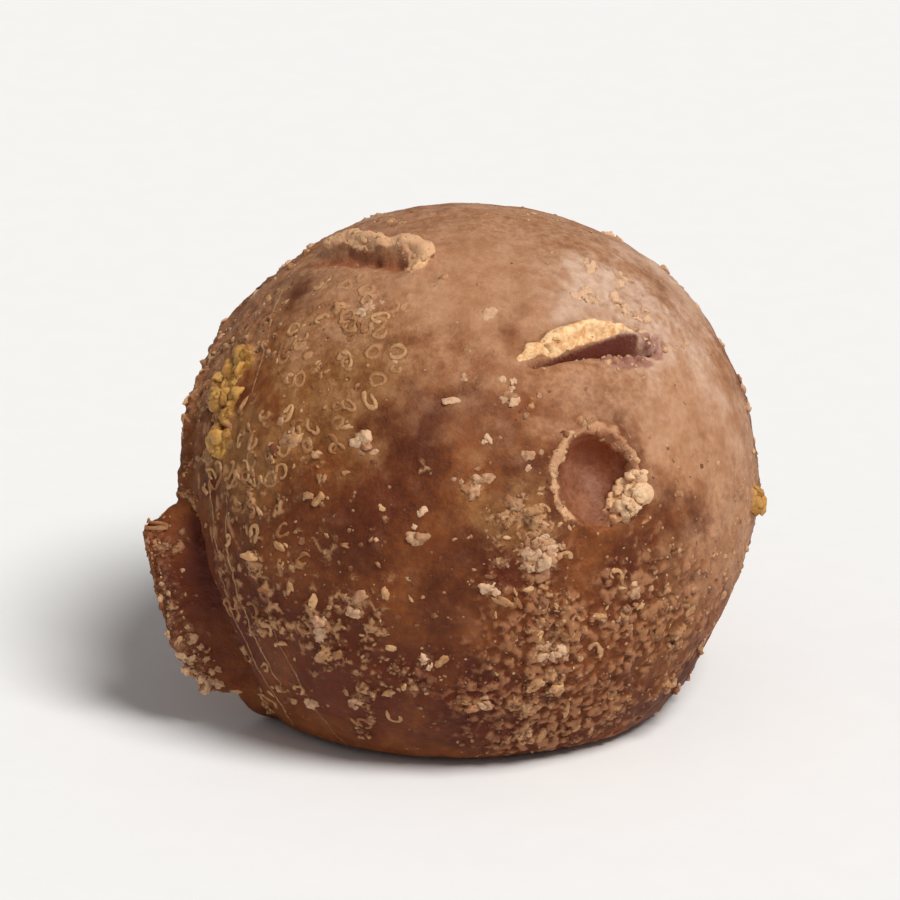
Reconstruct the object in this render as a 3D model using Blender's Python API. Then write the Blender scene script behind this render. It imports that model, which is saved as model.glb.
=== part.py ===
"""A lump of jaggery: boiled cane juice set in a round mould and knocked out.

It is a ball of 50 mm, cut off at its back left by the cast face, where the juice met the air.
The juice ran over the mould there, so part of the cast face's rim stands out as a thin lip.
The dome carries a burst bubble, a scar with a crust along it and a fold near its top.
The lump lies on a flattened spot underneath.

The shape is one radius for each direction from the ball's centre. Azimuth 0 is the front (-Y),
azimuth 90 is the right (+X), and elevation is above the horizon.
"""

import math

import bmesh
import bpy
import numpy as np

# Driving dimensions: metres, and degrees for every angle
BALL_RADIUS = 0.025
REST_DEPTH = 0.65 * BALL_RADIUS  # how far the resting spot lies below the ball's centre
SPHERE_LEVEL = 5  # an icosphere of 5120 triangles
REFINE_MARGINS = (0.0022, 0.0012)  # how far round the sharp places it is split, and split again

# The cast face
CAST_DEPTH = 0.58 * BALL_RADIUS  # from the ball's centre
CAST_AZIMUTH = -121.5
CAST_ELEVATION = -17.0
CAST_EDGE_ROUND = 0.0005
CAST_RADIUS = math.sqrt(BALL_RADIUS**2 - CAST_DEPTH**2)
DISH_DEPTH = 0.0009
# Places on the cast face are (towards its highest point, towards the front)
CAST_DENTS = (
    (0.006, 0.004, 0.0036, -0.0009),
    (-0.002, -0.008, 0.0024, -0.0007),
    (0.009, -0.006, 0.0015, 0.0006),
    (0.001, 0.011, 0.0013, 0.0005),
)

# The lip of the cast face, as turns round it from its highest point towards the front
LIP_START = 69.0
LIP_END = 116.0
LIP_BLUNTNESS = 8
LIP_HEIGHT = 0.0045
LIP_LEAN = 0.13  # how much taller it is at its start, and lower at its end
LIP_HALF_WIDTH = 0.0014
LIP_OUTSIDE_RIM = 0.0002
RIM_HEIGHT = 0.0007  # of the rim where it has no lip
GROOVE_DEPTH = 0.0023
GROOVE_HALF_WIDTH = 0.0012
GROOVE_OUTSIDE_RIM = 0.0034
GROOVE_START_SHARE = 0.55  # its width and distance where it starts, as shares of those further on
GROOVE_OPENS_OVER = 24.0

# The burst bubble
BUBBLE_AZIMUTH = 27.2
BUBBLE_ELEVATION = 22.4
BUBBLE_HALF_WIDTH = 0.0034
BUBBLE_HALF_HEIGHT = 0.0037
BUBBLE_DEPTH = 0.0024
BUBBLE_RIM = 0.0010
BUBBLE_DEEP_TOWARDS = 30.0  # its deep, thick-rimmed side, as a turn from the right

# The scar and its crust
SCAR_AZIMUTH = 37.7
SCAR_ELEVATION = 45.6
SCAR_TURN = -8.0
SCAR_HALF_LENGTH = 0.0074
SCAR_DEPTH = 0.0016
SCAR_HALF_WIDTH = 0.0007
SCAR_CRUST_HEIGHT = 0.0013
SCAR_CRUST_HALF_WIDTH = 0.0010
SCAR_CRUST_ARCH = 0.0025

# The fold near the top
FOLD_AZIMUTH = -66.0
FOLD_ELEVATION = 71.0
FOLD_TURN = 27.0
FOLD_HALF_LENGTH = 0.0060
FOLD_HEIGHT = 0.0013
FOLD_PEAK = 0.0006  # how much higher its right end stands
FOLD_HALF_WIDTH = 0.0009
FOLD_UNDERCUT = 0.0006

# Broad swells and hollows of the ball: azimuth, elevation, half width in degrees, height
SWELLS = (
    (111, 44, 34, 0.0008),
    (79, -27, 26, -0.0012),
    (-101, 30, 22, -0.0003),
    (-150, 42, 30, 0.0005),
    (176, 12, 36, -0.0007),
    (140, -18, 24, 0.0006),
    (20, -28, 22, -0.0004),
    (-30, 8, 26, 0.0003),
)

COLOR = (0.25, 0.102, 0.045, 1.0)
ROUGHNESS = 0.62


def direction(azimuth, elevation):
    """The unit vector of a direction from the ball's centre."""
    a, e = math.radians(azimuth), math.radians(elevation)
    return np.array([math.sin(a) * math.cos(e), -math.cos(a) * math.cos(e), math.sin(e)])


def face_axes(azimuth, elevation, turn=0.0):
    """Outward, right and up at a place on the ball, the last two turned anticlockwise."""
    outward = direction(azimuth, elevation)
    right = direction(azimuth + 90, 0)
    up = np.cross(outward, right)
    t = math.radians(turn)
    return outward, right * math.cos(t) + up * math.sin(t), up * math.cos(t) - right * math.sin(t)


def local(dirs, azimuth, elevation, turn=0.0):
    """How far directions lie to the right of and above a place on the ball, in metres."""
    outward, right, up = face_axes(azimuth, elevation, turn)
    across = BALL_RADIUS * (dirs @ right)
    along = BALL_RADIUS * (dirs @ up)
    behind = dirs @ outward < 0
    return np.where(behind, 1.0, across), np.where(behind, 1.0, along)


def bell(distance, half_width):
    return np.exp(-((distance / half_width) ** 2))


def window(distance, half_length, bluntness=4):
    """1 along a feature, falling to 0 at its ends, more suddenly the blunter they are."""
    return np.clip(1 - (distance / half_length) ** bluntness, 0, 1)


def swells(dirs):
    total = np.zeros(len(dirs))
    for azimuth, elevation, half_width, height in SWELLS:
        angle = np.degrees(np.arccos(np.clip(dirs @ direction(azimuth, elevation), -1, 1)))
        total += height * bell(angle, half_width)
    return total


def bubble(dirs):
    """A bowl, deeper and steeper on one side, with a rim that is sharp inside and slopes away outside."""
    x, y = local(dirs, BUBBLE_AZIMUTH, BUBBLE_ELEVATION)
    reach = np.hypot(x / BUBBLE_HALF_WIDTH, y / BUBBLE_HALF_HEIGHT)
    towards = np.cos(np.arctan2(y, x) - math.radians(BUBBLE_DEEP_TOWARDS))
    slant = 1 + 0.3 * towards * np.minimum(reach, 1)
    bowl = -BUBBLE_DEPTH * slant * np.clip(1 - reach**2.4, 0, 1) ** 0.8
    spread = np.where(reach < 1.08, 0.12, 0.28)
    return bowl + BUBBLE_RIM * (0.6 + 0.4 * towards) * bell(reach - 1.08, spread)


def scar(dirs):
    """A slit with a crust arched over it, which comes down to the slit at both ends."""
    x, y = local(dirs, SCAR_AZIMUTH, SCAR_ELEVATION, SCAR_TURN)
    slit = -SCAR_DEPTH * bell(y, SCAR_HALF_WIDTH) * window(x, SCAR_HALF_LENGTH)
    arch = SCAR_CRUST_ARCH * (1 - (x / SCAR_HALF_LENGTH) ** 2)
    crust = SCAR_CRUST_HEIGHT * bell(y - arch, SCAR_CRUST_HALF_WIDTH)
    return slit + crust * window(x, SCAR_HALF_LENGTH, 2)


def fold(dirs):
    """A ridge that is highest at its right end, with a shallow undercut below it."""
    x, y = local(dirs, FOLD_AZIMUTH, FOLD_ELEVATION, FOLD_TURN)
    height = FOLD_HEIGHT + FOLD_PEAK * bell(x - 0.75 * FOLD_HALF_LENGTH, FOLD_HALF_WIDTH * 2)
    ridge = height * bell(y, FOLD_HALF_WIDTH)
    undercut = -FOLD_UNDERCUT * bell(y + 2 * FOLD_HALF_WIDTH, FOLD_HALF_WIDTH)
    return (ridge + undercut) * window(x, FOLD_HALF_LENGTH)


def cast_axes():
    """The cast face's outward normal, and in it the ways to its highest point and to the front."""
    outward, _, up = face_axes(CAST_AZIMUTH, CAST_ELEVATION)
    return outward, up, np.cross(up, outward)


def cast_face(dirs):
    """The radius at which each direction meets the dished and dented cast face."""
    outward, up, front = cast_axes()
    facing = dirs @ outward
    depth = np.full(len(dirs), 1.0)
    seen = facing > 0.2
    d = dirs[seen]
    flat = CAST_DEPTH / facing[seen]
    x, y = flat * (d @ up), flat * (d @ front)
    sunk = DISH_DEPTH * np.clip(1 - (np.hypot(x, y) / CAST_RADIUS) ** 2, 0, 1)
    for place_x, place_y, half_width, height in CAST_DENTS:
        sunk -= height * bell(np.hypot(x - place_x, y - place_y), half_width)
    depth[seen] = (CAST_DEPTH - sunk) / facing[seen]
    return depth


def lip(dirs):
    """The rim of the cast face, which stands up as a lip on one stretch, with a groove outside it."""
    outward, up, front = cast_axes()
    rim_angle = math.acos(CAST_DEPTH / BALL_RADIUS)
    outside = BALL_RADIUS * (np.arccos(np.clip(dirs @ outward, -1, 1)) - rim_angle)
    turn = np.degrees(np.arctan2(dirs @ front, dirs @ up))
    middle, half_span = (LIP_START + LIP_END) / 2, (LIP_END - LIP_START) / 2
    stretch = window(turn - middle, half_span, LIP_BLUNTNESS)
    wobble = 0.85 + 0.1 * np.cos(np.radians(turn * 5 + 40)) + 0.05 * np.cos(np.radians(turn * 11))
    tall = LIP_HEIGHT * (0.8 + 0.2 * wobble) * (1 - LIP_LEAN * (turn - middle) / half_span)
    height = RIM_HEIGHT * wobble + (tall - RIM_HEIGHT) * stretch
    ridge = height * bell(outside - LIP_OUTSIDE_RIM, LIP_HALF_WIDTH)
    open_share = np.clip((turn - LIP_START) / GROOVE_OPENS_OVER, 0, 1)
    open_share = GROOVE_START_SHARE + (1 - GROOVE_START_SHARE) * open_share
    depth = GROOVE_DEPTH * (0.12 + 0.88 * stretch)
    return ridge - depth * bell(outside - GROOVE_OUTSIDE_RIM * open_share, GROOVE_HALF_WIDTH * open_share)


def radius(dirs):
    """The lump's radius in each direction."""
    ball = BALL_RADIUS + swells(dirs) + bubble(dirs) + scar(dirs) + fold(dirs)
    k = CAST_EDGE_ROUND
    nearer = np.minimum(ball, cast_face(dirs))
    farther = np.maximum(ball, cast_face(dirs))
    rounded = nearer - k * np.log1p(np.exp(-(farther - nearer) / k))
    return rounded + lip(dirs)


def sharp_places(dirs, margin):
    """Where the shape turns sharply, out to a margin in metres."""
    outward, up, front = cast_axes()
    rim_angle = math.acos(CAST_DEPTH / BALL_RADIUS)
    outside = BALL_RADIUS * (np.arccos(np.clip(dirs @ outward, -1, 1)) - rim_angle)
    turn = np.degrees(np.arctan2(dirs @ front, dirs @ up))
    beside = np.abs(outside - GROOVE_OUTSIDE_RIM / 2) < GROOVE_OUTSIDE_RIM / 2 + margin
    on_lip = (turn > LIP_START - 6) & (turn < LIP_END + 6)
    places = (beside & on_lip) | (np.abs(outside) < margin / 2)
    x, y = local(dirs, BUBBLE_AZIMUTH, BUBBLE_ELEVATION)
    places |= np.hypot(x, y) < BUBBLE_HALF_HEIGHT + margin
    x, y = local(dirs, SCAR_AZIMUTH, SCAR_ELEVATION, SCAR_TURN)
    places |= (np.abs(x) < SCAR_HALF_LENGTH) & (np.abs(y - SCAR_CRUST_ARCH / 2) < margin * 1.5)
    x, y = local(dirs, FOLD_AZIMUTH, FOLD_ELEVATION, FOLD_TURN)
    return places | ((np.abs(x) < FOLD_HALF_LENGTH) & (np.abs(y) < margin * 1.5))


def refine(bm, margin):
    """Splits each face near a sharp place of the unit sphere in four, and its neighbours to match."""
    faces = list(bm.faces)
    centres = np.array([f.calc_center_median().normalized() for f in faces])
    chosen = sharp_places(centres, margin)
    edges = {e for f, pick in zip(faces, chosen) if pick for e in f.edges}
    bmesh.ops.subdivide_edges(bm, edges=list(edges), cuts=1, use_grid_fill=True)
    bmesh.ops.triangulate(bm, faces=bm.faces[:])
    for v in bm.verts:
        v.co.normalize()


def shape_ball(bm):
    """Moves each vertex of the unit sphere out to the lump's surface."""
    dirs = np.array([v.co for v in bm.verts])
    for v, r in zip(bm.verts, radius(dirs)):
        v.co = v.co * float(r)


def cut_resting_spot(bm):
    """Cuts the bottom off level, without leaving slivers beside the cut."""
    for v in bm.verts:
        if abs(v.co.z + REST_DEPTH) < 0.0003:
            v.co.z = -REST_DEPTH
    geometry = bm.verts[:] + bm.edges[:] + bm.faces[:]
    bmesh.ops.bisect_plane(
        bm,
        geom=geometry,
        dist=1e-6,
        plane_co=(0, 0, -REST_DEPTH),
        plane_no=(0, 0, -1),
        clear_outer=True,
    )
    rim = [e for e in bm.edges if e.is_boundary]
    bmesh.ops.holes_fill(bm, edges=rim)
    bmesh.ops.triangulate(bm, faces=bm.faces[:])
    bmesh.ops.recalc_face_normals(bm, faces=bm.faces[:])


def stand_on_origin(bm):
    """Puts the middle of the box's underside on the origin."""
    places = np.array([v.co for v in bm.verts])
    low, high = places.min(axis=0), places.max(axis=0)
    shift = -(low + high) / 2
    shift[2] = -low[2]
    bmesh.ops.translate(bm, verts=bm.verts[:], vec=shift)


def jaggery_material():
    material = bpy.data.materials.new("jaggery")
    material.use_nodes = True
    shader = material.node_tree.nodes["Principled BSDF"]
    shader.inputs["Base Color"].default_value = COLOR
    shader.inputs["Roughness"].default_value = ROUGHNESS
    shader.inputs["Metallic"].default_value = 0.0
    return material


def jaggery_lump(collection):
    bm = bmesh.new()
    bmesh.ops.create_icosphere(bm, subdivisions=SPHERE_LEVEL, radius=1.0)
    for margin in REFINE_MARGINS:
        refine(bm, margin)
    shape_ball(bm)
    cut_resting_spot(bm)
    stand_on_origin(bm)
    mesh = bpy.data.meshes.new("jaggery_lump")
    bm.to_mesh(mesh)
    bm.free()
    mesh.shade_smooth()
    mesh.set_sharp_from_angle(angle=math.radians(50))
    mesh.materials.append(jaggery_material())
    lump = bpy.data.objects.new("jaggery_lump", mesh)
    collection.objects.link(lump)
    return lump


def main():
    for old in list(bpy.data.objects):
        bpy.data.objects.remove(old)
    collection = bpy.data.collections.new("jaggery lump")
    bpy.context.scene.collection.children.link(collection)
    jaggery_lump(collection)


main()
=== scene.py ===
"""Looks for the jaggery lump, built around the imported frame.

The skin repeats the CAD solid's shape with far more triangles and adds its relief: wrinkles, a
crumbly crust, creases, streaks beside the lip, and pits and blisters in the cast face. Grains,
flakes, curls, threads, crystals and crumbs are separate joined meshes at true size, set into it.
"""

import math
from types import SimpleNamespace

import bmesh
import bpy
import numpy as np
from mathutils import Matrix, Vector


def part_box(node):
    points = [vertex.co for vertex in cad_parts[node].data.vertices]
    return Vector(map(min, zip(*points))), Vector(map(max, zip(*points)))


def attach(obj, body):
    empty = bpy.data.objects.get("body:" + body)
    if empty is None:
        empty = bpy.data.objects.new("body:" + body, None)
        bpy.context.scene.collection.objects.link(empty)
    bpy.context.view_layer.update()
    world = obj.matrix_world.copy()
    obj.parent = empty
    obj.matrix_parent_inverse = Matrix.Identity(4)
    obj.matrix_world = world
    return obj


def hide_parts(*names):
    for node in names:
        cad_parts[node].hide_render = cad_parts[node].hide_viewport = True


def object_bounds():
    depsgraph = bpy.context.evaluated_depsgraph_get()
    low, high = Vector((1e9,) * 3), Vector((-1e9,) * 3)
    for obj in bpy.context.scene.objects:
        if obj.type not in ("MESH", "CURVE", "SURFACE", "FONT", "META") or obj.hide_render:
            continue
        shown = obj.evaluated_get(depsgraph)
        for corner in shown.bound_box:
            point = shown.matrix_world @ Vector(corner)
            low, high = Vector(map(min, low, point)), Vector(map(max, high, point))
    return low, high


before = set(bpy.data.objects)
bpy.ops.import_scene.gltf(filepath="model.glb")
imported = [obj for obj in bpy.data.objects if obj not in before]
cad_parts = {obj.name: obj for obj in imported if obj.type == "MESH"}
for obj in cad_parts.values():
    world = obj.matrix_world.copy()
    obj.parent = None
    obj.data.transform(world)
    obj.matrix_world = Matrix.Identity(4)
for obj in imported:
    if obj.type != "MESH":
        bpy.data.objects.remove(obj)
CAD_LOW, CAD_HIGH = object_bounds()
NODE_LOW, NODE_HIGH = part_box("jaggery_lump")
SEED = 20

# ---- the CAD solid's shape, in metres and degrees
# A mark's place is its azimuth and elevation in degrees, and for some its turn anticlockwise.
BALL_RADIUS = 0.025
REST_DEPTH = 0.65 * BALL_RADIUS
REST_EDGE_ROUND = 0.0007
LEAST_FACING = 0.2
FAR = 1.0

CAST_PLACE = (-121.5, -17.0)
CAST_DEPTH = 0.58 * BALL_RADIUS
CAST_EDGE_ROUND = 0.0005
CAST_RADIUS = math.sqrt(BALL_RADIUS**2 - CAST_DEPTH**2)
RIM_ANGLE = math.acos(CAST_DEPTH / BALL_RADIUS)
DISH_DEPTH = 0.0009
# Each dent is its place up and to the front, its half width and its height.
CAST_DENTS = (
    (0.006, 0.004, 0.0036, -0.0009), (-0.002, -0.008, 0.0024, -0.0007), (0.009, -0.006, 0.0015, 0.0006),
    (0.001, 0.011, 0.0013, 0.0005),
)

LIP_START = 69.0
LIP_END = 116.0
LIP_BLUNTNESS = 8
LIP_HEIGHT = 0.0045
LIP_LEAN = 0.13
LIP_HALF_WIDTH = 0.0014
LIP_OUTSIDE_RIM = 0.0002
RIM_HEIGHT = 0.0007
GROOVE_DEPTH = 0.0023
GROOVE_HALF_WIDTH = 0.0012
GROOVE_OUTSIDE_RIM = 0.0034
GROOVE_START_SHARE = 0.55
GROOVE_OPENS_OVER = 24.0

BUBBLE_PLACE = (27.2, 22.4)
BUBBLE_HALF_WIDTH = 0.0034
BUBBLE_HALF_HEIGHT = 0.0037
BUBBLE_DEPTH = 0.0024
BUBBLE_SLANT = 0.3
BUBBLE_DEEP_TOWARDS = 30.0
BUBBLE_RIM = 0.001
BUBBLE_RIM_REACH = 1.08

SCAR_PLACE = (37.7, 45.6, -8.0)
SCAR_HALF_LENGTH = 0.0074
SCAR_DEPTH = 0.0016
SCAR_HALF_WIDTH = 0.0007
SCAR_CRUST_HEIGHT = 0.0013
SCAR_CRUST_HALF_WIDTH = 0.001
SCAR_CRUST_ARCH = 0.0025

FOLD_PLACE = (-66.0, 71.0, 27.0)
FOLD_HALF_LENGTH = 0.006
FOLD_HEIGHT = 0.0013
FOLD_PEAK = 0.0006
FOLD_HALF_WIDTH = 0.0009
FOLD_UNDERCUT = 0.0006

# Each swell is an azimuth, an elevation, a half width in degrees and a height.
SWELLS = (
    (111, 44, 34, 0.0008), (79, -27, 26, -0.0012), (-101, 30, 22, -0.0003), (-150, 42, 30, 0.0005),
    (176, 12, 36, -0.0007), (140, -18, 24, 0.0006), (20, -28, 22, -0.0004), (-30, 8, 26, 0.0003),
)

# ---- the skin's own detail
SPHERE_LEVEL = 5
SPHERE_CUTS = 3
LONGEST_EDGE = 0.00062
FINEST_EDGE = 0.00031
EDGE_ROUNDS = 3
WARP_SIZE = 0.0045
WARP_DEGREES = 9.0
GRAIN_SPACING = 0.00078
SPECK_SPACING = 0.00048
RIBBON_SIDES = 6

# Kinds of surface: each patch is an azimuth, an elevation, a half width in degrees and a strength.
FLAKY = (
    (-134, 0, 15, 1), (-102, -28, 13, 1), (-146, -30, 10, 0.9), (-42, 2, 28, 0.75),
    (-24, -6, 20, 0.8), (9, 12, 12, 0.8), (16, -1, 13, 0.8), (-40, 46, 15, 0.6), (-78, 26, 15, 0.9),
    (162, 18, 34, 0.9), (104, -14, 22, 0.6), (-152, 52, 22, 0.7),
)
COARSE = (
    (-118, -36, 12, 0.9), (-144, -16, 9, 0.8), (18, -12, 20, 1), (36, -9, 20, 1),
    (26, -26, 20, 1), (3, -20, 12, 0.8), (56, -14, 16, 0.7), (-84, 40, 15, 0.7), (148, -22, 28, 1),
    (-172, 42, 17, 0.6), (92, 6, 14, 0.5), (28, 3, 8, 0.9),
)
CALM = (
    (14, 66, 24, 1), (62, 28, 19, 0.9), (-12, 37, 12, 0.9), (-3, 13, 6, 0.9), (1, -4, 6, 1),
    (118, 38, 24, 0.8), (-102, 42, 16, 0.5), (-178, 68, 20, 0.8),
)
# Redder, darker patches, most of them low on the left: partly the sugar's own deep red-brown, partly
# painted shade on the side away from the key light and over the lip's shaded flank.
RUSTY_AND_SHADED = (
    (-112, -34, 15, 0.9), (-150, -10, 9, 0.8), (-24, -16, 20, 1), (-18, 21, 9, 0.6), (7, 7, 5, 0.9),
    (-2, -20, 14, 0.9), (-54, -8, 20, 1), (-80, -20, 13, 0.9), (-30, -2, 12, 0.6),
    (136, -12, 26, 0.8), (-168, 2, 24, 0.6),
)
# Paler pink patches, most of them on the top and upper right: partly a pale film on the sugar, partly
# painted highlight towards the key light.
BLOOM_AND_HIGHLIGHT = (
    (-116, 2, 13, 0.7), (-130, -26, 9, 0.5), (50, 54, 28, 1), (66, 32, 22, 1), (20, 78, 32, 1),
    (-40, 76, 26, 1), (84, 70, 28, 1), (-62, 58, 12, 0.6), (-88, 44, 20, 0.6), (68, 4, 20, 0.9),
    (-150, 62, 26, 0.8), (172, 34, 18, 0.6), (104, 52, 24, 0.8),
)
DUSTY = (
    (-134, -2, 17, 0.9), (-38, 46, 20, 1), (-52, 22, 16, 0.9), (-76, 44, 18, 0.8), (8, 19, 9, 0.7),
    (44, -8, 20, 0.7), (166, 10, 30, 0.7), (-120, 58, 16, 0.6), (-100, -22, 9, 0.6),
)
# Paler grey patches, strongest at the upper right where the key light falls: partly pale sugar, partly
# painted sheen.
PALLOR_AND_SHEEN = (
    (62, 52, 15, 1), (72, 38, 13, 0.7), (80, 20, 12, 0.35), (104, 46, 18, 0.7), (-165, 56, 16, 0.6),
)
# Wrinkled patches: the wrinkles are real relief, and their crests are painted pale grey as a sheen.
WAXY_SHEEN = (
    (60, 58, 11, 1), (69, 47, 8, 0.9), (44, 62, 7, 0.6), (112, 44, 10, 0.8), (-160, 60, 10, 0.7),
)
RINGED = (
    (-136, 0, 11, 0.6), (-38, 48, 15, 1), (-50, 22, 14, 1), (-40, -2, 13, 0.5), (8, 22, 9, 0.4),
    (158, 8, 18, 0.8), (-140, 52, 14, 0.6),
)
OCHRE_PATCHES = (
    (-64, 29, 5.5, 1), (-68, 36, 5.0, 0.9), (-60, 22, 3.4, 0.8), (79.0, 4.5, 2.6, 1),
    (152, 30, 5.0, 0.9),
)
# Places where larger crystals have grown together
CLUSTERS = (
    (-138, 4, 2.4, 0.8), (-104, -32, 2.6, 0.8), (-122, -24, 1.8, 0.7), (2.2, 22.7, 2.6, 1),
    (14.9, 9.5, 3.4, 1), (4.3, 3.7, 2.2, 1), (6.7, 8.9, 1.5, 1), (2.0, 43.2, 2.2, 0.6),
    (10.0, 42.5, 1.7, 0.7), (17.5, 39.5, 2.0, 0.8), (21.5, 42.0, 1.5, 0.8), (-20.6, 0.0, 3.0, 0.8),
    (-28.3, -6.7, 2.6, 0.8), (-7.2, -10.7, 1.8, 0.9), (-22.8, -21.4, 1.8, 0.7), (17.9, -9.0, 2.4, 0.6),
    (35.2, -0.6, 2.0, 0.6), (2.2, -21.8, 2.4, 0.7), (-23.6, 30.5, 2.0, 0.7), (-37.5, 58.0, 2.4, 0.6),
    (-34.0, 40.5, 3.0, 0.4), (71.4, 57.3, 2.6, 0.6), (-117, 55, 2.0, 0.7), (-113, 49, 2.4, 0.8),
    (-108, 41, 2.2, 0.8), (-103, 33, 2.0, 0.7), (-99, 24, 2.0, 0.7), (121, 55, 2.0, 0.7),
    (111, 45, 2.2, 0.8), (105, 37, 1.8, 0.7), (101, 29, 1.5, 0.6), (98, 22, 2.2, 0.8),
    (62.2, 48.9, 2.4, 0.6), (50, 57, 2.2, 0.7), (57, 53, 2.0, 0.8), (56, 47, 1.6, 0.7),
    (66, 62, 1.8, 0.6), (150, 8, 3.4, 0.9), (168, 26, 3.0, 0.8), (128, -16, 3.2, 0.9),
    (-165, 44, 3.2, 0.8), (98, 20, 2.6, 0.7),
)
# Crystals that stand alone
LONE_CRYSTALS = (
    (10.1, 20.2, 1.1, 1), (9.9, 38.1, 1.0, 1), (13.5, 28.5, 1.1, 1), (5.1, 31.8, 0.9, 1),
    (-8.6, 17.4, 1.1, 1), (-9.0, 13.4, 0.9, 1), (-3.2, 38.4, 0.9, 0.8), (-41.3, 28.7, 1.2, 1),
    (-33.8, -25.9, 1.0, 1), (12.1, 56.8, 1.2, 0.7), (53.4, -29.2, 1.0, 0.8),
)
# Short creases: an azimuth, an elevation, a turn in degrees, a half length and a depth in metres
CREASES = (
    (86, 44, -14, 0.0024, 0.0006), (89, 40, -20, 0.002, 0.0005), (58, 54, 10, 0.001, 0.00025),
    (22, 50, 60, 0.0008, 0.00035), (41, 38, -4, 0.0012, 0.00022), (150, 50, 30, 0.0016, 0.00035),
    (-120, 66, -20, 0.0014, 0.0003),
)
# Threads: the distance outside the cast face's rim in mm, the first and last turn round it in degrees
THREADS = (
    (5.9, 40, 82), (6.4, 86, 124), (8.2, 70, 112), (10.6, 24, 50), (11.6, 92, 128),
)


def direction(azimuth, elevation):
    """The unit vector of a direction from the ball's centre; azimuth 0 is the front, 90 the right."""
    a, e = math.radians(azimuth), math.radians(elevation)
    return np.array([math.sin(a) * math.cos(e), -math.cos(a) * math.cos(e), math.sin(e)])


def face_axes(azimuth, elevation, turn=0.0):
    """Outward, right and up at a place on the ball, the last two turned anticlockwise."""
    outward = direction(azimuth, elevation)
    right = direction(azimuth + 90, 0)
    up = np.cross(outward, right)
    t = math.radians(turn)
    return outward, right * math.cos(t) + up * math.sin(t), up * math.cos(t) - right * math.sin(t)


def local(dirs, azimuth, elevation, turn=0.0):
    """How far directions lie to the right of and above a place on the ball, in metres."""
    outward, right, up = face_axes(azimuth, elevation, turn)
    behind = dirs @ outward < 0
    return [np.where(behind, FAR, BALL_RADIUS * (dirs @ way)) for way in (right, up)]


def degrees_from(dirs, azimuth, elevation):
    """The angles between directions and a place on the ball."""
    return np.degrees(np.arccos(np.clip(dirs @ direction(azimuth, elevation), -1, 1)))


def bell(distance, half_width):
    """1 at no distance, and about a third at the half width."""
    return np.exp(-((distance / half_width) ** 2))


def window(distance, half_length, bluntness=4):
    """1 along a feature, falling to 0 at its ends, more suddenly the blunter they are."""
    return np.clip(1 - (distance / half_length) ** bluntness, 0, 1)


def smooth(low, high, value):
    """0 below low, 1 above high, and an even slope between."""
    t = np.clip((value - low) / (high - low), 0, 1)
    return t * t * (3 - 2 * t)


def swells(dirs):
    """The ball's broad, low rises and hollows."""
    total = np.zeros(len(dirs))
    for azimuth, elevation, half_width, height in SWELLS:
        total += height * bell(degrees_from(dirs, azimuth, elevation), half_width)
    return total


def bubble_place(dirs):
    """Right and up from the burst bubble's middle, and how far out in its own radii."""
    x, y = local(dirs, *BUBBLE_PLACE)
    return x, y, np.hypot(x / BUBBLE_HALF_WIDTH, y / BUBBLE_HALF_HEIGHT)


def bubble_ridge(reach):
    """The burst bubble's rim, steep inside and gentle outside, 0 to 1."""
    return bell(reach - BUBBLE_RIM_REACH, np.where(reach < BUBBLE_RIM_REACH, 0.12, 0.28))


def bubble(dirs):
    """The burst bubble: a bowl with a raised rim, both greater on one side."""
    x, y, reach = bubble_place(dirs)
    towards = np.cos(np.arctan2(y, x) - math.radians(BUBBLE_DEEP_TOWARDS))
    slant = 1 + BUBBLE_SLANT * towards * np.minimum(reach, 1)
    bowl = -BUBBLE_DEPTH * slant * np.clip(1 - reach**2.4, 0, 1) ** 0.8
    return bowl + BUBBLE_RIM * (0.6 + 0.4 * towards) * bubble_ridge(reach)


def scar_arch(x):
    """How far above the slit the middle of the scar's crust runs."""
    return SCAR_CRUST_ARCH * (1 - (x / SCAR_HALF_LENGTH) ** 2)


def scar_crust(x, y):
    """How high the crust above the scar's slit stands."""
    crust = SCAR_CRUST_HEIGHT * bell(y - scar_arch(x), SCAR_CRUST_HALF_WIDTH)
    return crust * window(x, SCAR_HALF_LENGTH, 2)


def scar_slit(x, y):
    """How deep the scar's slit is."""
    return SCAR_DEPTH * bell(y, SCAR_HALF_WIDTH) * window(x, SCAR_HALF_LENGTH)


def scar(dirs):
    """The scar: a slit under an arched crust."""
    x, y = local(dirs, *SCAR_PLACE)
    return scar_crust(x, y) - scar_slit(x, y)


def fold(dirs):
    """The fold: a ridge that peaks near its right end, over a shallow undercut."""
    x, y = local(dirs, *FOLD_PLACE)
    height = FOLD_HEIGHT + FOLD_PEAK * bell(x - 0.75 * FOLD_HALF_LENGTH, FOLD_HALF_WIDTH * 2)
    ridge = height * bell(y, FOLD_HALF_WIDTH)
    undercut = -FOLD_UNDERCUT * bell(y + 2 * FOLD_HALF_WIDTH, FOLD_HALF_WIDTH)
    return (ridge + undercut) * window(x, FOLD_HALF_LENGTH)


def cast_axes():
    """The cast face's outward normal, and in it the ways to its highest point and to the front."""
    outward, _, up = face_axes(*CAST_PLACE)
    return outward, up, np.cross(up, outward)


def rim_place(dirs):
    """How far outside the cast face's rim, in metres, and the turn round it from its top, in degrees."""
    outward, up, front = cast_axes()
    outside = BALL_RADIUS * (np.arccos(np.clip(dirs @ outward, -1, 1)) - RIM_ANGLE)
    return outside, np.degrees(np.arctan2(dirs @ front, dirs @ up))


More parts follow.
